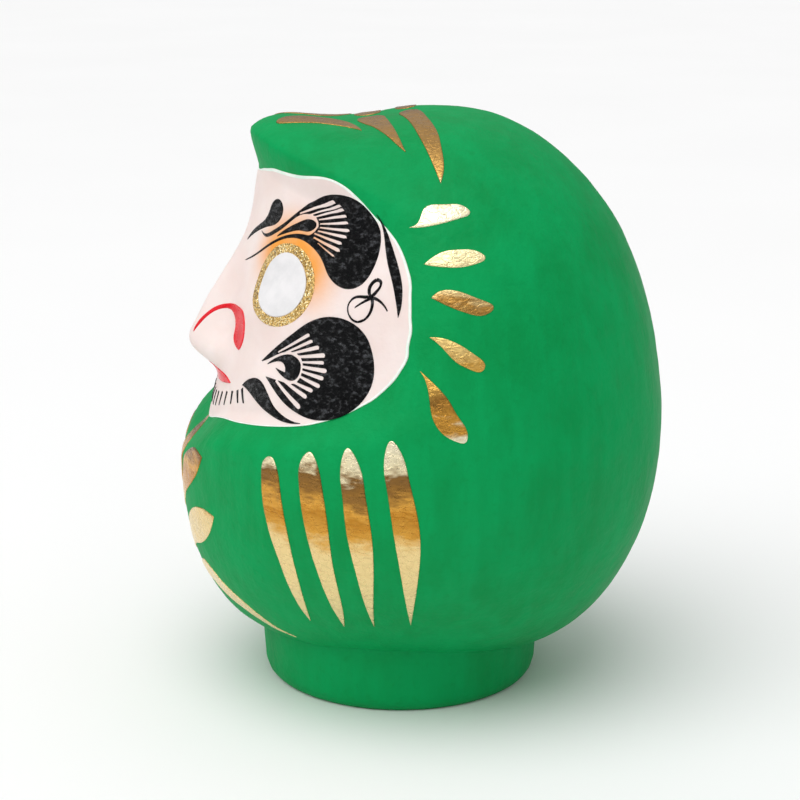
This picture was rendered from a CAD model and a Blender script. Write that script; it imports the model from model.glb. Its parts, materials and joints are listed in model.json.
"""Daruma doll: paint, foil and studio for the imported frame. Metres, +Z up, facing -Y."""
import bpy
import json
import math
import numpy as np
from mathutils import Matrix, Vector
from mathutils.geometry import delaunay_2d_cdt


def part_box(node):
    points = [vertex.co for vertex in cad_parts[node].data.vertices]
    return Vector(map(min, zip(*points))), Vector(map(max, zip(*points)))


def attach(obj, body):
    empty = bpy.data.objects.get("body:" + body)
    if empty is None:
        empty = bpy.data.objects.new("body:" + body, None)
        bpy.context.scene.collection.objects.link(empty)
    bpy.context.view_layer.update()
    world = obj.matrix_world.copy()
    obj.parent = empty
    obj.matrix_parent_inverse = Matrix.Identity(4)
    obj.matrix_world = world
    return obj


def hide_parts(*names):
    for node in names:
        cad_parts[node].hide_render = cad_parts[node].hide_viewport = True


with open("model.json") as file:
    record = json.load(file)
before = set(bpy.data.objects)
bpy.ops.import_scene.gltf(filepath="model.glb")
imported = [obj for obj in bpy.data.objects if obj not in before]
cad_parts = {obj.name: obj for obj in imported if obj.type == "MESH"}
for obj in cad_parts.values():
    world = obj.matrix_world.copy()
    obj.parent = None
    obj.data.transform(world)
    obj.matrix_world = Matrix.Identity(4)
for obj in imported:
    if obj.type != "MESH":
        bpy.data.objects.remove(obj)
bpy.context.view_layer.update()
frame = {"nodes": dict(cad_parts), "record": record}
nodes = frame["nodes"]
MM = 0.001

# ------------------------------------------------------------------ the doll's surface, in mm
CENTRE = np.array([0.0, 9.0, 88.0])
# Outline in the middle plane as (y, z), and the right-hand half of the side outline as (x, z).
MID_OUTLINE = [
    (-70, 73), (-67.5, 98), (-58.5, 135), (-51, 161), (-47.5, 174), (-22, 179), (9, 182),
    (40, 175), (62.5, 155), (77, 125), (83, 88), (79, 54), (67, 28), (45, 11), (9, 7),
    (-26, 10), (-54, 23), (-67, 46),
]
SIDE_OUTLINE = [
    (0, 182), (29, 177), (54, 158), (69, 130), (77, 100), (79.5, 76), (75, 53), (62, 33),
    (38, 15), (0, 7),
]
# The face about its middle elevation, in degrees: the hollow's floor, then the painted edge.
FACE_MIDDLE = 29.0
HOLLOW_HALF_AZIMUTH, HOLLOW_RISE, HOLLOW_DROP, HOLLOW_CHIN_DROP = 80.5, 26.0, 25.0, 7.0
PAINT_HALF_AZIMUTH, PAINT_RISE, PAINT_ARCH, PAINT_NOSE_DIP = 80.2, 27.4, 1.6, 1.3
PAINT_DROP, PAINT_JOWL_DROP, PAINT_CHIN_DROP = 27.0, 1.0, 4.3
# The nose by elevation: how far it stands out in mm, and its half width in degrees.
NOSE_HEIGHT = [
    (5, 0), (9.5, 0), (12.2, 2.2), (14, 7), (16.8, 10.2), (20.5, 9.4), (27, 7.2), (34, 4.8),
    (40, 2.8), (47, 0.8), (53, 0), (58, 0),
]
NOSE_HALF_WIDTH = [(8, 11), (14, 9), (18, 7.6), (24, 6.2), (32, 5.4), (40, 6.5), (50, 9)]
# Soft swellings: azimuth, elevation, spread each way in degrees, height in mm.
SWELLINGS = [
    (12, 17.5, 4.6, 4.2, 3.0),    # wings of the nose
    (30, 31, 13, 8, 1.6),         # eyes
    (40, 44, 18, 5, 1.0),         # brows
    (42, 13, 16, 8, 1.8),         # cheeks
    (0, 7.5, 8, 3, -1.0),         # mouth
]
GROUND, PAINT, FOIL = 0.3, 0.3, 0.25
FOOT_RX, FOOT_RY, FOOT_HEIGHT, FOOT_WALL, REBATE = 46.0, 44.0, 22.0, 4.5, 2.0
FOOT_SECTIONS = [(0.0, 0.945), (0.8, 0.972), (2.0, 0.991), (4.0, 1.004), (FOOT_HEIGHT, 1.03)]
WALL = 3.5

# How the coats are laid, in mm: each has a domed rim, and a root that sinks into what it lies on.
DOME_WIDTH, RIM_SINK, MARK_ROOT = 0.34, 0.02, 0.1
FACE_BED, FACE_ROOT = 0.6, 0.8
FACE_REACH, PLANE_REACH = 85.0, 80.0
INNER_RINGS = (0.12, 0.3)
# Smallest loop of a mark's outline that counts, in mm2.
SPECK = 0.15


def spline(knots, period=None):
    """Natural cubic through (t, value) knots, as a function of an array."""
    knots = sorted(knots)
    if period:
        knots = [(t - period, v) for t, v in knots] + knots + [(t + period, v) for t, v in knots]
    t = np.array([k[0] for k in knots], float)
    v = np.array([k[1] for k in knots], float)
    h = np.diff(t)
    n = len(t)
    a = np.eye(n)
    b = np.zeros(n)
    for i in range(1, n - 1):
        a[i, i - 1:i + 2] = h[i - 1], 2 * (h[i - 1] + h[i]), h[i]
        b[i] = 6 * ((v[i + 1] - v[i]) / h[i] - (v[i] - v[i - 1]) / h[i - 1])
    m = np.linalg.solve(a, b)

    def value(x):
        x = np.clip(x, t[0], t[-1])
        i = np.clip(np.searchsorted(t, x) - 1, 0, n - 2)
        p = (t[i + 1] - x) / h[i]
        q = 1 - p
        bend = (p ** 3 - p) * m[i] + (q ** 3 - q) * m[i + 1]
        return p * v[i] + q * v[i + 1] + bend * h[i] ** 2 / 6

    return value


def polar(x, z):
    """Angle in degrees and radius of an outline point about the centre's height."""
    return math.degrees(math.atan2(z - CENTRE[2], x)), math.hypot(x, z - CENTRE[2])


mid_knots = [polar(CENTRE[1] - y, z) for y, z in MID_OUTLINE]
mid_radius = spline([(a % 360, r) for a, r in mid_knots], 360)
side_half = [polar(x, z) for x, z in SIDE_OUTLINE]
side_radius = spline(side_half + [(180 - a, r) for a, r in side_half[1:-1]], 360)
nose_height = spline(NOSE_HEIGHT)
nose_half_width = spline(NOSE_HALF_WIDTH)


def bell(x):
    """1 at 0, falling off smoothly on both sides."""
    return np.exp(-np.square(x))


def smooth(t):
    """Soft step from 0 to 1."""
    t = np.clip(t, 0, 1)
    return t * t * (3 - 2 * t)


def level_of(az, el, half, rise, drop, power):
    """0 in the middle of a rounded outline on the face, 1 on the outline."""
    u = np.abs(az) / half
    v = np.abs(el - FACE_MIDDLE) / np.where(el > FACE_MIDDLE, rise, drop)
    return (u ** power + v ** power) ** (1 / power)


def hollow_level(az, el):
    """0 in the middle of the face's hollow, 1 where its floor ends."""
    drop = HOLLOW_DROP + HOLLOW_CHIN_DROP * bell(az / 20)
    power = np.where(el > FACE_MIDDLE, 3.6, 3.0)
    return level_of(az, el, HOLLOW_HALF_AZIMUTH, HOLLOW_RISE, drop, power)


def paint_level(az, el):
    """0 in the middle of the painted face, 1 on its edge."""
    side = np.abs(az)
    rise = PAINT_RISE + PAINT_ARCH * bell((side - 55) / 14) - PAINT_NOSE_DIP * bell(az / 16)
    drop = PAINT_DROP + PAINT_JOWL_DROP * bell((side - 60) / 14) + PAINT_CHIN_DROP * bell(az / 15)
    power = np.where(el > FACE_MIDDLE, 3.6, 2.4)
    return level_of(az, el, PAINT_HALF_AZIMUTH, rise, drop, power)


def formula_radius(az, el):
    """Radius of the CAD body about its centre, in mm, at azimuths and elevations in degrees."""
    ahead = np.cos(np.radians(az))
    across = np.abs(np.sin(np.radians(az)))
    level = np.cos(np.radians(el)) ** 2
    front = ahead >= 0
    to_middle = mid_radius(np.where(front, el, 180 - el) % 360)
    fuller = 0.12 * level * bell((el - 5) / 35)
    leaner = 0.25 * level * bell((el - 28) / 24)
    power = np.where(front, 2 - leaner, 2 + fuller)
    r = ((np.abs(ahead) / to_middle) ** power + (across / side_radius(el)) ** power) ** (-1 / power)
    # The sunk face, with a softer slope above and below.
    level = hollow_level(az, el)
    rise = (el - FACE_MIDDLE) / HOLLOW_RISE / np.maximum(level, 1e-6)
    upper = np.clip(rise, 0, 1) ** 2
    lower = np.clip(-rise, 0, 1) ** 2
    start = 0.84 + 0.16 * upper + 0.08 * lower
    stop = 1.16 - 0.045 * upper + 0.10 * lower
    sunk = 3.2 + 5.6 * bell(az / 52) + 2.2 * upper * bell((np.abs(az) - 45) / 28)
    r = r - sunk * (1 - smooth((level - start) / (stop - start)))
    # The nose, then the swellings.
    ridge = np.abs(az * np.cos(np.radians(el)) / nose_half_width(el)) ** 2.2
    nose = np.maximum(nose_height(el), 0) * np.exp(-ridge)
    r = r + np.where((level < 1.3) & (el > 6), nose, 0)
    for side, high, wide, tall, out in SWELLINGS:
        r = r + out * bell((np.abs(az) - side) / wide) * bell((el - high) / tall)
    return r


def lattice_noise(p, seed):
    """Smooth noise in -1..1 at points p, from hashed lattice values."""
    cell = np.floor(p).astype(np.int64)
    f = p - cell
    f = f * f * f * (f * (f * 6 - 15) + 10)
    total = np.zeros(len(p))
    for corner in range(8):
        step = np.array([corner & 1, corner >> 1 & 1, corner >> 2 & 1])
        c = cell + step
        h = c[:, 0] * 374761393 + c[:, 1] * 668265263 + c[:, 2] * 1274126177 + seed * 974711
        h = h & 0xFFFFFFFF
        h = ((h ^ (h >> 13)) * 1274126177) & 0xFFFFFFFF
        value = ((h ^ (h >> 16)) & 0xFFFF) / 32767.5 - 1
        total += value * np.prod(np.where(step, f, 1 - f), axis=1)
    return total


def ripple(d, level):
    """Hand-laid pulp: slow dents and a finer ripple, calmer on the face, in mm."""
    p = d * 88
    calm = 0.35 + 0.65 * smooth((level - 0.9) / 0.25)
    slow = 0.34 * lattice_noise(p / 23, 1) + 0.17 * lattice_noise(p / 10, 2)
    fine = 0.075 * lattice_noise(p / 4.6, 3) + 0.03 * lattice_noise(p / 2.2, 4)
    return calm * (slow + fine)


def skin(d, lift):
    """Points of the finished surface along unit directions d, raised by lift mm."""
    el = np.degrees(np.arcsin(np.clip(d[:, 2], -1, 1)))
    az = np.degrees(np.arctan2(d[:, 0], -d[:, 1]))
    r = formula_radius(az, el) + ripple(d, paint_level(az, el)) + lift
    return CENTRE + d * r[:, None]


def direction(az, el):
    """Unit vectors at azimuths from the face and elevations, in degrees."""
    a, e = np.radians(az), np.radians(el)
    return np.stack([np.sin(a) * np.cos(e), -np.cos(a) * np.cos(e), np.sin(e)], -1)


# ------------------------------------------------------------------ meshes
def mesh_object(name, points, faces, slots=None):
    """Smooth-shaded object from points in mm."""
    mesh = bpy.data.meshes.new(name)
    mesh.from_pydata((np.asarray(points) * MM).tolist(), [], faces)
    mesh.validate()
    mesh.polygons.foreach_set("use_smooth", [True] * len(mesh.polygons))
    if slots is not None:
        mesh.polygons.foreach_set("material_index", slots)
    mesh.update()
    obj = bpy.data.objects.new(name, mesh)
    bpy.context.scene.collection.objects.link(obj)
    return obj


def grid_faces(rows, columns, first=0, flip=False):
    """Quads of a grid of points that closes round its columns."""
    quads = []
    for j in range(rows - 1):
        for i in range(columns):
            k = (i + 1) % columns
            q = [first + j * columns + i, first + j * columns + k,
                 first + (j + 1) * columns + k, first + (j + 1) * columns + i]
            quads.append(q[::-1] if flip else q)
    return quads


def spread(stops):
    """Values that go from stop to stop at each (end, step)."""
    values = [stops[0]]
    for end, step in stops[1:]:
        count = max(round(abs(end - values[-1]) / step), 1)
        values += list(np.linspace(values[-1], end, count + 1)[1:])
    return np.array(values)


def add(piece, node, materials):
    """Give a piece its materials and its place in the frame."""
    for material in materials:
        piece.data.materials.append(material)
    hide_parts(node)
    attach(piece, "root")
    return piece


def foot_scale(z):
    """Share of the foot's nominal radii at height z."""
    return np.interp(z, [s[0] for s in FOOT_SECTIONS], [s[1] for s in FOOT_SECTIONS])


# ------------------------------------------------------------------ materials
def linear(*rgb):
    """Linear colour with alpha, from screen values of 0 to 255."""
    shares = [c / 255 for c in rgb]
    return [c / 12.92 if c <= 0.04045 else ((c + 0.055) / 1.055) ** 2.4 for c in shares] + [1]


class Nodes:
    """A material's node tree, with short calls for the nodes used here."""

    def __init__(self, name):
        self.material = bpy.data.materials.new(name)
        self.material.use_nodes = True
        self.tree = self.material.node_tree
        self.tree.nodes.clear()
        self.shader = self.tree.nodes.new("ShaderNodeBsdfPrincipled")
        out = self.tree.nodes.new("ShaderNodeOutputMaterial")
        self.tree.links.new(self.shader.outputs["BSDF"], out.inputs["Surface"])
        self.place = self.tree.nodes.new("ShaderNodeTexCoord").outputs["Object"]

    def put(self, socket, value):
        """Link a socket's value, or set a plain one."""
        if isinstance(value, bpy.types.NodeSocket):
            self.tree.links.new(value, socket)
        else:
            socket.default_value = value

    def set(self, **values):
        for key, value in values.items():
            self.put(self.shader.inputs[key.replace("_", " ")], value)

    def noise(self, scale, detail=3.0, rough=0.55, vector=None):
        n = self.tree.nodes.new("ShaderNodeTexNoise")
        self.put(n.inputs["Vector"], vector or self.place)
        n.inputs["Scale"].default_value = scale
        n.inputs["Detail"].default_value = detail
        n.inputs["Roughness"].default_value = rough
        return n.outputs["Fac"]

    def noise_colour(self, scale):
        n = self.tree.nodes.new("ShaderNodeTexNoise")
        self.put(n.inputs["Vector"], self.place)
        n.inputs["Scale"].default_value = scale
        return n.outputs["Color"]

    def cells(self, scale, feature="F1", output="Distance", vector=None):
        n = self.tree.nodes.new("ShaderNodeTexVoronoi")
        n.feature = feature
        self.put(n.inputs["Vector"], vector or self.place)
        n.inputs["Scale"].default_value = scale
        return n.outputs[output]

    def split(self, vector):
        n = self.tree.nodes.new("ShaderNodeSeparateXYZ")
        self.put(n.inputs[0], vector)
        return n.outputs

    def ramp(self, share, stops):
        """Colour ramp through (position, colour) stops."""
        n = self.tree.nodes.new("ShaderNodeValToRGB")
        self.put(n.inputs[0], share)
        elements = n.color_ramp.elements
        while len(elements) < len(stops):
            elements.new(0.5)
        for element, (position, colour) in zip(elements, stops):
            element.position = position
            element.color = colour
        return n.outputs[0]

    def span(self, value, a, b, c=0.0, d=1.0, kind="SMOOTHSTEP"):
        """Value mapped from the span a to b to the span c to d."""
        n = self.tree.nodes.new("ShaderNodeMapRange")
        n.interpolation_type = kind
        self.put(n.inputs["Value"], value)
        for key, number in zip(("From Min", "From Max", "To Min", "To Max"), (a, b, c, d)):
            n.inputs[key].default_value = number
        return n.outputs["Result"]

    def math(self, kind, a, b=0.0):
        n = self.tree.nodes.new("ShaderNodeMath")
        n.operation = kind
        self.put(n.inputs[0], a)
        self.put(n.inputs[1], b)
        return n.outputs[0]

    def vector(self, kind, a, b=(0, 0, 0)):
        n = self.tree.nodes.new("ShaderNodeVectorMath")
        n.operation = kind
        self.put(n.inputs[0], a)
        if kind == "SCALE":
            self.put(n.inputs["Scale"], b)
        else:
            self.put(n.inputs[1], b)
        return n.outputs["Value" if kind in ("LENGTH", "DOT_PRODUCT") else "Vector"]

    def mix(self, share, a, b):
        n = self.tree.nodes.new("ShaderNodeMix")
        n.data_type = "RGBA"
        self.put(n.inputs["Factor"], share)
        self.put(n.inputs["A"], a)
        self.put(n.inputs["B"], b)
        return n.outputs["Result"]

    def bump(self, height, distance, strength=1.0, normal=None):
        n = self.tree.nodes.new("ShaderNodeBump")
        self.put(n.inputs["Height"], height)
        n.inputs["Distance"].default_value = distance
        n.inputs["Strength"].default_value = strength
        if normal is not None:
            self.put(n.inputs["Normal"], normal)
        return n.outputs["Normal"]

    def stretched(self, scale, angles=(0, 0, 0)):
        n = self.tree.nodes.new("ShaderNodeMapping")
        self.put(n.inputs["Vector"], self.place)
        n.inputs["Rotation"].default_value = angles
        n.inputs["Scale"].default_value = scale
        return n.outputs["Vector"]


def green_paint():
    m = Nodes("green_paint")
    cloud = m.noise(38, 4)
    strokes = m.noise(160, 5, 0.6, m.stretched((1, 1, 0.16)))
    across = m.noise(150, 4, 0.6, m.stretched((0.2, 0.2, 1), (0.5, 0.2, 0)))
    base = m.mix(m.span(cloud, 0.3, 0.7), linear(0, 142, 72), linear(0, 153, 82))
    base = m.mix(m.span(strokes, 0.35, 0.75, 0, 0.4), base, linear(0, 166, 93))
    base = m.mix(m.span(m.noise(420, 2), 0.55, 0.8, 0, 0.35), base, linear(0, 136, 66))
    m.set(Base_Color=base, Roughness=m.span(cloud, 0.3, 0.7, 0.5, 0.62))
    grain = m.math("MULTIPLY", m.noise(900, 3, 0.6), 0.5)
    fibre = m.math("ADD", grain, m.math("ADD", strokes, across))
    lumps = m.bump(m.noise(210, 2), 0.0007, 0.55)
    m.set(Normal=m.bump(fibre, 0.00028, 0.8, lumps), Specular_IOR_Level=0.1)
    return m.material


def flesh_ground():
    """Flesh paint with an orange glow over each eye, the same on both sides of the face."""
    m = Nodes("flesh_ground")
    tone = m.mix(m.span(m.noise(55, 3), 0.3, 0.7), linear(243, 228, 223), linear(237, 217, 211))
    low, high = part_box("eye_white_left")
    eye = (low + high) / 2
    x, y, z = m.split(m.place)
    join = m.tree.nodes.new("ShaderNodeCombineXYZ")
    m.put(join.inputs[0], m.math("SUBTRACT", m.math("ABSOLUTE", x), abs(eye.x)))
    m.put(join.inputs[1], m.math("SUBTRACT", y, eye.y))
    m.put(join.inputs[2], m.math("SUBTRACT", z, eye.z))
    away = join.outputs[0]
    brow_side = tuple(Vector((0.25, -0.05, 0.97)).normalized())
    up = m.vector("DOT_PRODUCT", m.vector("NORMALIZE", away), brow_side)
    near = m.span(m.vector("LENGTH", away), 0.0262, 0.0125)
    glow = m.math("MULTIPLY", near, m.span(up, -0.5, 0.55))
    glow = m.math("MULTIPLY", glow, m.span(m.noise(120, 3), 0.1, 0.7, 0.85, 1.05))
    tone = m.mix(m.math("MINIMUM", glow, 1.0), tone, linear(244, 160, 60))
    m.set(Base_Color=tone, Roughness=m.span(m.noise(90, 3), 0.3, 0.7, 0.52, 0.62))
    soft = m.bump(m.noise(170, 3), 0.0005, 0.4)
    m.set(Normal=m.bump(m.noise(800, 3), 0.00012, 0.6, soft), Specular_IOR_Level=0.4)
    m.set(Subsurface_Weight=0.04, Subsurface_Scale=0.004)
    return m.material


def edge_white():
    m = Nodes("edge_white")
    tone = m.mix(m.span(m.noise(300, 3), 0.3, 0.7), linear(250, 252, 246), linear(226, 244, 232))
    m.set(Base_Color=tone, Roughness=0.55, Normal=m.bump(m.noise(700, 3), 0.00012, 0.6))
    return m.material


def black_enamel():
    """Near-black paint whose grit catches the light as grey speckles."""
    m = Nodes("black_enamel")
    grit = m.noise(620, 5, 0.68, m.stretched((0.8, 0.8, 1.3)))
    lumps = m.noise(190, 3, 0.6)
    brushed = m.noise(240, 4, 0.6, m.stretched((1, 1, 0.35), (0.4, 0.3, 0)))
    tone = m.mix(m.span(brushed, 0.3, 0.75), linear(2, 2, 4), linear(9, 10, 13))
    m.set(Base_Color=m.mix(m.span(grit, 0.53, 0.72, 0, 0.8), tone, linear(70, 73, 80)))
    m.set(Roughness=m.span(lumps, 0.35, 0.7, 0.2, 0.38))
    m.set(Specular_IOR_Level=m.span(grit, 0.48, 0.66, 0.1, 0.6))
    m.set(Normal=m.bump(grit, 0.0022, 0.9, m.bump(lumps, 0.0022, 0.6)))
    return m.material


def red_enamel():
    m = Nodes("red_enamel")
    streak = m.noise(260, 4, 0.6, m.stretched((1, 1, 0.4)))
    m.set(Base_Color=m.mix(m.span(streak, 0.3, 0.7), linear(218, 6, 28), linear(234, 20, 40)))
    m.set(Roughness=m.span(m.noise(300, 3), 0.3, 0.7, 0.24, 0.36))
    m.set(Normal=m.bump(streak, 0.0003, 0.6))
    m.set(Coat_Weight=0.12, Coat_Roughness=0.15, Specular_IOR_Level=0.3)
    return m.material


# Foil colours by height in mm, as a crinkled foil shows its light and dark surroundings.
FOIL_BANDS = [
    (34, (238, 214, 158)), (60, (236, 208, 146)), (66, (214, 158, 66)), (72, (190, 130, 42)),
    (75, (222, 164, 70)), (79, (150, 108, 50)), (83, (134, 98, 52)), (86, (246, 232, 190)),
    (96, (250, 240, 206)), (100, (206, 150, 60)), (106, (146, 104, 44)), (112, (232, 184, 92)),
    (118, (214, 164, 76)), (124, (240, 206, 130)), (132, (170, 124, 56)), (138, (244, 220, 160)),
    (150, (250, 236, 186)), (160, (252, 242, 206)), (168, (196, 154, 84)), (180, (176, 134, 70)),
]


def gold_foil():
    """Crinkled foil, banded by height with wandering edges."""
    m = Nodes("gold_foil")
    height = m.split(m.place)[2]
    slow = m.noise(46, 4, 0.62, m.stretched((1, 1, 1.6)))
    fine = m.noise(330, 3, 0.6, m.stretched((0.5, 0.5, 2.2)))
    for wander, reach in ((slow, 0.022), (fine, 0.009)):
        height = m.math("ADD", height, m.math("MULTIPLY", m.math("SUBTRACT", wander, 0.5), reach))
    low, high = FOIL_BANDS[0][0], FOIL_BANDS[-1][0]
    share = m.span(height, low * MM, high * MM, kind="LINEAR")
    bands = m.ramp(share, [((z - low) / (high - low), linear(*colour)) for z, colour in FOIL_BANDS])
    bend = m.vector("SCALE", m.vector("SUBTRACT", m.noise_colour(170), (0.5, 0.5, 0.5)), 0.006)
    crease = m.cells(330, "DISTANCE_TO_EDGE", vector=m.vector("ADD", m.place, bend))
    tone = m.mix(m.span(crease, 0.04, 0.0, 0, 0.16), bands, linear(150, 104, 44))
    m.set(Base_Color=tone, Metallic=0.86, Specular_IOR_Level=0.5)
    m.set(Roughness=m.span(m.noise(300, 3), 0.3, 0.75, 0.22, 0.36))
    crinkle = m.noise(520, 4, 0.62, m.stretched((0.55, 0.55, 1.5)))
    folds = m.bump(m.span(crease, 0.0, 0.07), 0.00012, 0.45)
    m.set(Normal=m.bump(crinkle, 0.00055, 0.7, m.bump(m.noise(95, 3, 0.5), 0.0008, 0.5, folds)))
    return m.material


def gold_glitter():
    """Flakes 0.3 mm across, each with its own colour, roughness and tilt."""
    m = Nodes("gold_glitter")
    flake = m.cells(2900, output="Color")
    split = m.tree.nodes.new("ShaderNodeSeparateColor")
    m.put(split.inputs[0], flake)
    tone = m.mix(m.span(split.outputs[0], 0.1, 0.9), linear(168, 130, 62), linear(244, 208, 134))
    m.set(Base_Color=m.mix(m.span(split.outputs[1], 0.85, 0.93), tone, linear(255, 246, 205)))
    m.set(Metallic=0.9, Roughness=m.span(split.outputs[2], 0, 1, 0.22, 0.6))
    tilt = m.vector("SCALE", m.vector("SUBTRACT", flake, (0.5, 0.5, 0.5)), 0.8)
    geometry = m.tree.nodes.new("ShaderNodeNewGeometry")
    facing = m.vector("NORMALIZE", m.vector("ADD", geometry.outputs["Normal"], tilt))
    m.set(Normal=m.bump(m.cells(2900), 0.00012, 0.5, facing))
    return m.material


def eye_paint():
    m = Nodes("eye_paint")
    tone = m.mix(m.span(m.noise(190, 4), 0.3, 0.7), linear(234, 232, 233), linear(224, 223, 224))
    m.set(Base_Color=tone, Roughness=0.6, Normal=m.bump(m.noise(420, 4), 0.0003, 0.5))
    return m.material


def dry_clay():
    m = Nodes("dry_clay")
    m.set(Base_Color=m.mix(m.noise(120, 5), linear(176, 146, 118), linear(140, 112, 90)))
    m.set(Roughness=0.85, Normal=m.bump(m.noise(500, 5, 0.65), 0.0005, 0.7))
    return m.material


def plain_card():
    m = Nodes("plain_card")
    flecks = m.span(m.noise(900, 3), 0.6, 0.8, 0, 0.4)
    m.set(Base_Color=m.mix(flecks, linear(222, 212, 190), linear(182, 168, 140)))
    m.set(Roughness=0.8, Normal=m.bump(m.noise(700, 4, 0.6), 0.00015, 0.6))
    return m.material


GREEN, FLESH, EDGE, BLACK = green_paint(), flesh_ground(), edge_white(), black_enamel()
RED, GOLD, GLITTER, WHITE = red_enamel(), gold_foil(), gold_glitter(), eye_paint()
CLAY, CARD = dry_clay(), plain_card()
MARK_MATERIALS = {
    "black_enamel": BLACK, "red_enamel": RED, "gold_foil": GOLD, "gold_glitter": GLITTER,
    "eye_white": WHITE,
}


# ------------------------------------------------------------------ body and foot
def foot_reach(az, z, inset=0.0):
    """Distance from the foot's axis to its outer wall, at azimuths, in mm."""
    a = np.radians(az)
    k = foot_scale(z)
    rx, ry = FOOT_RX * k - inset, FOOT_RY * k - inset
    return 1 / np.hypot(np.sin(a) / rx, np.cos(a) / ry)


def foot_meeting(az):
    """Elevations at which the body's skin passes inside the foot's wall."""
    low, high = np.full(len(az), -89.0), np.full(len(az), -25.0)
    for _ in range(30):
        middle = (low + high) / 2
        p = skin(direction(az, middle), 0.0)
        bearing = np.degrees(np.arctan2(p[:, 0], -p[:, 1]))
        inside = np.hypot(p[:, 0], p[:, 1]) < foot_reach(bearing, p[:, 2], 1.2)
        low, high = np.where(inside, middle, low), np.where(inside, high, middle)
    return high


def build_body():
    """Shell with both its skins, joined round the opening in the foot and closed on the crown."""
    half = spread([0, (18, 0.62), (60, 0.95), (95, 0.75), (180, 1.25)])
    az = np.concatenate([half, -half[1:-1][::-1]])
    n = len(az)
    bottom = foot_meeting(az)
    band = -20.0
    rings = []
    for t in np.linspace(0, 1, 44)[:-1]:
        rings.append(skin(direction(az, bottom + (band - bottom) * t), 0.0))
    for el in spread([band, (0, 1.1), (44, 0.72), (61, 0.5), (89.2, 1.35)]):
        level = np.full(n, el)
        under_face = smooth((0.975 - paint_level(az, level)) / 0.03) if el > 0 else 0.0
        rings.append(skin(direction(az, level), -FACE_BED * under_face))
    outer = len(rings)
    for t in np.linspace(0, 1, 22):
        el = bottom + (88.0 - bottom) * t
        rings.append(CENTRE + direction(az, el) * (formula_radius(az, el) - WALL)[:, None])
    crown = skin(np.array([[0.0, 0.0, 1.0]]), 0.0)
    points = np.vstack(rings + [crown, crown - [0, 0, WALL]])
    top = len(points) - 2
    inner = outer * n
    outer_rim, inner_rim = inner - n, top - n
    faces = grid_faces(outer, n) + grid_faces(len(rings) - outer, n, inner, True)
    for i in range(n):
        k = (i + 1) % n
        faces.append([i, inner + i, inner + k, k])
    for i in range(n):
        k = (i + 1) % n
        faces.append([outer_rim + i, outer_rim + k, top])
        faces.append([inner_rim + k, inner_rim + i, top + 1])
    return add(mesh_object("doll_body", points, faces), "body_shell", [GREEN])


def build_foot():
    """Oval band, rebated underneath for the base paper."""
    az = np.radians(np.linspace(0, 360, 300, endpoint=False))
    n = len(az)
    ellipse = np.stack([np.sin(az), -np.cos(az), 0 * az], -1)
    rings = []

    def ring(rx, ry, z, rough=0.0):
        p = ellipse * [rx, ry, 0]
        out = p / np.linalg.norm(p, axis=1)[:, None]
        dent = 0.22 * lattice_noise(p / 17 + 40, 5) + 0.10 * lattice_noise((p + [0, 0, z]) / 6, 6)
        rings.append(p + out * (rough * dent)[:, None] + [0, 0, z])

    rebate_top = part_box("base_paper")[1].z / MM
    bore_rx, bore_ry = FOOT_RX - FOOT_WALL, FOOT_RY - FOOT_WALL
    ring(bore_rx, bore_ry, FOOT_HEIGHT)
    ring(bore_rx, bore_ry, rebate_top)
    ring(bore_rx + REBATE, bore_ry + REBATE, rebate_top)
    ring(bore_rx + REBATE, bore_ry + REBATE, 0)
    heights = [0, 0.12, 0.35, 0.7, 1.2, 1.9, 2.8, 4.0] + list(np.linspace(5.5, FOOT_HEIGHT, 18))
    for z in heights:
        k = float(foot_scale(z))
        ring(FOOT_RX * k, FOOT_RY * k, z, min(z / 3, 1))
    last = (len(rings) - 1) * n
    faces = grid_faces(len(rings), n)
    faces += [[last + i, last + (i + 1) % n, (i + 1) % n, i] for i in range(n)]
    piece = mesh_object("foot_band", np.concatenate(rings), faces)
    return add(piece, "foot_ring", [GREEN])


def build_disc(name, node, material, crown):
    """Flat disc that fills its node's box, with a softened rim."""
    low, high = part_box(node)
    middle, size = (low + high) / 2 / MM, (high - low) / MM
    low, high = low.z / MM, high.z / MM
    az = np.radians(np.linspace(0, 360, 180, endpoint=False))
    n = len(az)
    rim = min(size.z * 0.25, 0.8)
    profile = [
        (0.3, low), (0.8, low), (0.99, low), (1, low + rim), (1, high - rim), (0.99, high),
        (0.8, high - crown), (0.3, high - crown),
    ]
    rings = []
    for share, z in profile:
        x = middle.x + size.x / 2 * share * np.cos(az)
        y = middle.y + size.y / 2 * share * np.sin(az)
        rings.append(np.stack([x, y, np.full(n, z)], -1))
    faces = grid_faces(len(rings), n)
    faces.append(list(range(n))[::-1])
    faces.append([(len(rings) - 1) * n + i for i in range(n)])
    return add(mesh_object(name, np.concatenate(rings), faces), node, [material])


# ------------------------------------------------------------------ layers laid on the body
def closed_layer(name, d, top_faces, away, base, thick, root, slots=None):
    """Closed solid over directions d, which lie `away` mm inside its rim.

    It is domed at the rim, thick mm over the base lift, and reaches root mm under the base.
    """
    share = np.clip(away / DOME_WIDTH, 0, 1)
    height = base + thick * np.sqrt(1 - (1 - share) ** 2)
    edge = away < 1e-6
    height[edge] = base - RIM_SINK
    top = skin(d, height)
    inner = np.where(~edge)[0]
    under = skin(d[inner], base - np.minimum(root, 0.03 + away[inner] * 0.5))
    index = np.arange(len(d))
    index[inner] = len(d) + np.arange(len(inner))
    faces = [list(f) for f in top_faces] + [[int(index[i]) for i in f][::-1] for f in top_faces]
    if slots is not None:
        slots = slots + slots
    return mesh_object(name, np.vstack([top, under]), faces, slots)


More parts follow.
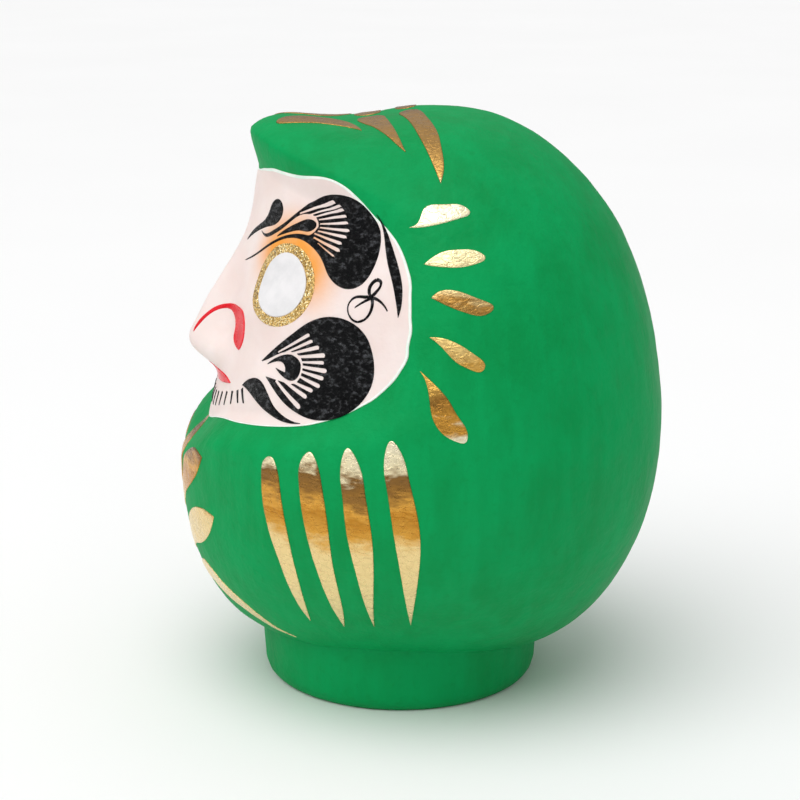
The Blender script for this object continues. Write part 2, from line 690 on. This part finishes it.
def face_direction(reach, turn):
    """Directions at a share of the painted face's size, at turns round its middle."""
    az = PAINT_HALF_AZIMUTH * reach * np.cos(turn)
    return direction(az, FACE_MIDDLE + PAINT_RISE * reach * np.sin(turn))


def painted_reach(turn):
    """Share of the face's size at which its paint ends, at turns round its middle."""
    low, high = np.zeros(len(turn)), np.full(len(turn), 1.6)
    for _ in range(40):
        s = (low + high) / 2
        az = PAINT_HALF_AZIMUTH * s * np.cos(turn)
        inside = paint_level(az, FACE_MIDDLE + PAINT_RISE * s * np.sin(turn)) < 1
        low, high = np.where(inside, s, low), np.where(inside, high, s)
    return low


def build_face():
    """Coat of flesh paint with a pale line round it, as rings of points about its middle."""
    n, edge_bands = 420, 3
    turn = np.linspace(0, 2 * np.pi, n, endpoint=False)
    shares = np.linspace(0.012, 0.97, 96)
    shares = np.concatenate([shares, [0.978, 0.985, 0.9905, 0.9945, 0.9975, 1.0]])
    circle = np.stack([9 * np.cos(turn), 9 * np.sin(turn), 0 * turn], -1)
    reach = painted_reach(turn)
    wave = 1 + 0.0035 * lattice_noise(circle, 7)
    d = np.concatenate([face_direction(reach * share * wave, turn) for share in shares])
    last_step = np.linalg.norm((d[-n:] - d[-2 * n:-n]) * FACE_REACH, axis=1)
    rim_mm = last_step / (shares[-1] - shares[-2])
    away = np.concatenate([(1 - share) * rim_mm for share in shares])
    d = np.vstack([d, direction(np.array([0.0]), np.array([FACE_MIDDLE]))])
    away = np.append(away, 50)
    rows = len(shares)
    faces = grid_faces(rows, n) + [[i, rows * n, (i + 1) % n] for i in range(n)]
    faces = [f[::-1] for f in faces]
    slots = [int(j >= rows - 1 - edge_bands) for j in range(rows - 1) for _ in range(n)] + [0] * n
    piece = closed_layer("face_coat", d, faces, away, 0.0, GROUND, FACE_ROOT, slots)
    return add(piece, "face_ground", [FLESH, EDGE])


def one_way_edges(faces):
    """Directed edges that no other face runs along the opposite way, in face order."""
    edges = {}
    for face in faces:
        for i in range(3):
            edges[(face[i], face[(i + 1) % 3])] = True
    return [(a, b) for a, b in edges if (b, a) not in edges]


def outline_loops(node):
    """Edge loops of the node's outer surface, as unit directions about the centre."""
    mesh = nodes[node].data
    co = np.array([v.co for v in mesh.vertices]) / MM - CENTRE
    _, first, same = np.unique(np.round(co, 4), axis=0, return_index=True, return_inverse=True)
    co = co[first]
    same = same.reshape(-1)
    outer = []
    for polygon in mesh.polygons:
        face = [int(same[i]) for i in polygon.vertices]
        a, b, c = co[face[:3]]
        normal = np.cross(b - a, c - a)
        size = np.linalg.norm(normal)
        out = a + b + c
        if size > 1e-12 and normal @ out / size / np.linalg.norm(out) > 0.35:
            outer.append(face)
    onward = {}
    for a, b in one_way_edges(outer):
        onward.setdefault(a, []).append(b)
    loops = []
    while onward:
        path = [next(iter(onward))]
        while path[-1] in onward:
            ways = onward[path[-1]]
            there = ways.pop()
            if not ways:
                del onward[path[-1]]
            if there not in path:
                path.append(there)
                continue
            k = path.index(there)
            p = co[path[k:]]
            p = p / np.linalg.norm(p, axis=1)[:, None]
            if loop_area(p) > SPECK:
                loops.append(p)
            path = path[:k + 1]
    return loops


def loop_area(loop):
    """Area in mm2 inside a small loop of unit directions."""
    return np.linalg.norm(np.cross(loop, np.roll(loop, -1, 0)).sum(0)) * FACE_REACH ** 2 / 2


def resample(loop, step):
    """Even points round a closed plane loop that keep its sharp corners."""
    before = loop - np.roll(loop, 1, 0)
    after = np.roll(loop, -1, 0) - loop
    cross = before[:, 0] * after[:, 1] - before[:, 1] * after[:, 0]
    turn = np.abs(np.arctan2(cross, (before * after).sum(1)))
    corners = [i for i in range(len(loop)) if turn[i] > 0.9] or [0]
    points, fixed = [], []
    for c, i in enumerate(corners):
        j = corners[(c + 1) % len(corners)]
        end = j if j > i else j + len(loop)
        run = np.array([loop[k % len(loop)] for k in range(i, end + 1)])
        length = np.concatenate([[0], np.cumsum(np.linalg.norm(np.diff(run, axis=0), axis=1))])
        count = max(int(round(length[-1] / step)), 1)
        at = np.linspace(0, length[-1], count + 1)[:-1]
        points.append(np.stack([np.interp(at, length, run[:, k]) for k in range(2)], -1))
        fixed += [True] + [False] * (count - 1)
    points = np.concatenate(points)
    fixed = np.array(fixed)
    for _ in range(4):
        middle = (np.roll(points, 1, 0) + np.roll(points, -1, 0)) / 2
        points = np.where(fixed[:, None], points, points * 0.5 + middle * 0.5)
    return points


def within(points, loops):
    """Even-odd test of points against closed loops."""
    inside = np.zeros(len(points), bool)
    for loop in loops:
        x0, y0 = loop[:, 0], loop[:, 1]
        x1, y1 = np.roll(x0, -1), np.roll(y0, -1)
        for k in range(0, len(points), 4000):
            p = points[k:k + 4000]
            spans = (y0[None] > p[:, 1:]) != (y1[None] > p[:, 1:])
            with np.errstate(divide="ignore", invalid="ignore"):
                cross = (x1 - x0)[None] * (p[:, 1:] - y0[None]) / (y1 - y0)[None] + x0[None]
            inside[k:k + 4000] ^= (spans & (p[:, :1] < cross)).sum(1) % 2 == 1
    return inside


def edge_distance(points, loops):
    """Distance from points to the nearest loop segment."""
    best = np.full(len(points), 1e9)
    for loop in loops:
        a, b = loop, np.roll(loop, -1, 0)
        ab = b - a
        square = np.maximum((ab * ab).sum(1), 1e-12)
        for k in range(0, len(points), 3000):
            p = points[k:k + 3000, None]
            t = np.clip(((p - a[None]) * ab[None]).sum(2) / square[None], 0, 1)
            near = np.linalg.norm(p - a[None] - t[..., None] * ab[None], axis=2).min(1)
            best[k:k + 3000] = np.minimum(best[k:k + 3000], near)
    return best


def inner_grid(flat, spacing):
    """Staggered points inside the loops, clear of their edges."""
    points = np.concatenate(flat)
    low, high = points.min(0), points.max(0)
    xs, ys = np.arange(low[0], high[0], spacing), np.arange(low[1], high[1], spacing * 0.87)
    gx, gy = np.meshgrid(xs, ys)
    gx = gx + (np.arange(gx.shape[0]) % 2 * spacing / 2)[:, None]
    grid = np.stack([gx.ravel(), gy.ravel()], -1)
    grid = grid[within(grid, flat)]
    return grid[edge_distance(grid, flat) > 0.5] if len(grid) else grid


def inner_rings(flat):
    """Points that follow the loops just inside them, so that the rim can be domed."""
    rings = []
    for offset in INNER_RINGS:
        for loop in flat:
            along = np.roll(loop, -1, 0) - np.roll(loop, 1, 0)
            side = np.stack([-along[:, 1], along[:, 0]], -1)
            side /= np.maximum(np.linalg.norm(side, axis=1), 1e-9)[:, None]
            rings += [loop + side * offset, loop - side * offset]
    rings = np.concatenate(rings)
    rings = rings[within(rings, flat)]
    away = edge_distance(rings, flat)
    near, far = (np.abs(away - offset) < 0.01 for offset in INNER_RINGS)
    return rings[near | far]


def triangulate(flat, spacing):
    """Plane points and triangles that fill the loops."""
    points = np.concatenate(flat + [inner_grid(flat, spacing), inner_rings(flat)])
    edges, first = [], 0
    for loop in flat:
        edges += [(first + i, first + (i + 1) % len(loop)) for i in range(len(loop))]
        first += len(loop)
    made = delaunay_2d_cdt([Vector(p) for p in points], edges, [], 0, 1e-5)
    points = np.array([tuple(p) for p in made[0]])
    faces = np.array([f for f in made[2] if len(f) == 3])
    faces = faces[within(points[faces].mean(1), flat)]
    used, index = np.unique(faces, return_inverse=True)
    points, faces = points[used], index.reshape(-1, 3)
    corner = points[faces]
    sense = np.cross(corner[:, 1] - corner[:, 0], corner[:, 2] - corner[:, 0])
    return points, np.where((sense > 0)[:, None], faces, faces[:, ::-1])


def build_mark(node, slot_name, base, thick, spacing=0.75, step=0.3):
    """A painted or foil mark, on the outline that its CAD node has."""
    loops = outline_loops(node)
    axis = np.concatenate(loops).mean(0)
    axis /= np.linalg.norm(axis)
    right = np.cross([0, 0, 1], axis)
    right /= np.linalg.norm(right)
    up = np.cross(axis, right)
    flat = []
    for loop in loops:
        p = loop / (loop @ axis)[:, None] * PLANE_REACH
        flat.append(resample(np.stack([p @ right, p @ up], -1), step))
    points, faces = triangulate(flat, spacing)
    d = axis * PLANE_REACH + points[:, :1] * right + points[:, 1:] * up
    d /= np.linalg.norm(d, axis=1)[:, None]
    border = np.zeros(len(points), bool)
    border[np.array(one_way_edges(faces)).ravel()] = True
    away = np.where(border, 0.0, np.maximum(edge_distance(points, flat), 0.02))
    name = node.replace("_left", "_l").replace("_right", "_r") + "_mark"
    piece = closed_layer(name, d, faces.tolist(), away, base, thick, MARK_ROOT)
    return add(piece, node, [MARK_MATERIALS[slot_name]])


build_body()
build_foot()
build_disc("ballast_clay", "ballast", CLAY, 0.4)
build_disc("base_card", "base_paper", CARD, 0.0)
build_face()
for part in frame["record"]["subparts"]:
    name, finish = part["node"], part["material_slot"]
    if finish == "gold_foil":
        build_mark(name, finish, 0.0, FOIL, 0.9)
    elif finish in MARK_MATERIALS:
        build_mark(name, finish, GROUND, PAINT * 0.8)

# ------------------------------------------------------------------ studio
floor_mesh = bpy.data.meshes.new("floor")
corners = [(-60, -60, 0), (60, -60, 0), (60, 60, 0), (-60, 60, 0)]
floor_mesh.from_pydata(corners, [], [(0, 1, 2, 3)])
floor = bpy.data.objects.new("floor", floor_mesh)
bpy.context.scene.collection.objects.link(floor)
paper = Nodes("studio_floor")
shade = paper.mix(paper.noise(3, 2), linear(244, 244, 244), linear(248, 248, 248))
paper.set(Base_Color=shade, Roughness=0.7)
floor_mesh.materials.append(paper.material)


def aim(obj, azimuth, elevation, distance, height):
    """Set a light or camera at a bearing from a point on the doll's axis, looking at it."""
    away = Vector(direction(np.array([azimuth]), np.array([elevation]))[0])
    obj.location = Vector((0, 0, height)) + away * distance
    obj.rotation_mode = "QUATERNION"
    obj.rotation_quaternion = away.to_track_quat("Z", "Y")
    bpy.context.scene.collection.objects.link(obj)
    return obj


skylight = bpy.data.lights.new("skylight", "SUN")
skylight.energy = 1.55
skylight.angle = math.radians(60)
aim(bpy.data.objects.new("skylight", skylight), 50.0, 66.0, 2.0, 0.09)

softbox = bpy.data.lights.new("front_fill", "AREA")
softbox.shape = "SQUARE"
softbox.size = 0.7
softbox.energy = 1.2
aim(bpy.data.objects.new("front_fill", softbox), 20.0, 30.0, 1.2, 0.09)

# Brightness of the surroundings by height: dim round the horizon, bright overhead.
SKY = [(0.0, 0.7), (0.03, 0.3), (0.17, 0.34), (0.42, 0.72), (1.0, 0.95)]
world = bpy.data.worlds.new("studio")
bpy.context.scene.world = world
world.use_nodes = True
tree = world.node_tree
coords = tree.nodes.new("ShaderNodeTexCoord")
split = tree.nodes.new("ShaderNodeSeparateXYZ")
ramp = tree.nodes.new("ShaderNodeValToRGB")
back = tree.nodes["Background"]
tree.links.new(coords.outputs["Generated"], split.inputs[0])
tree.links.new(split.outputs["Z"], ramp.inputs[0])
tree.links.new(ramp.outputs[0], back.inputs["Color"])
while len(ramp.color_ramp.elements) < len(SKY):
    ramp.color_ramp.elements.new(0.5)
for element, (position, level) in zip(ramp.color_ramp.elements, SKY):
    element.position = position
    element.color = (level, level, level, 1)
back.inputs["Strength"].default_value = 0.8

bpy.context.scene.view_settings.view_transform = "Standard"

# ------------------------------------------------------------------ camera
camera_data = bpy.data.cameras.new("camera")
camera_data.sensor_width = 36
camera_data.lens = 91.08
camera = bpy.data.objects.new("camera", camera_data)
bpy.context.scene.camera = aim(camera, 85.0, 14.0, 0.65, 0.0885)
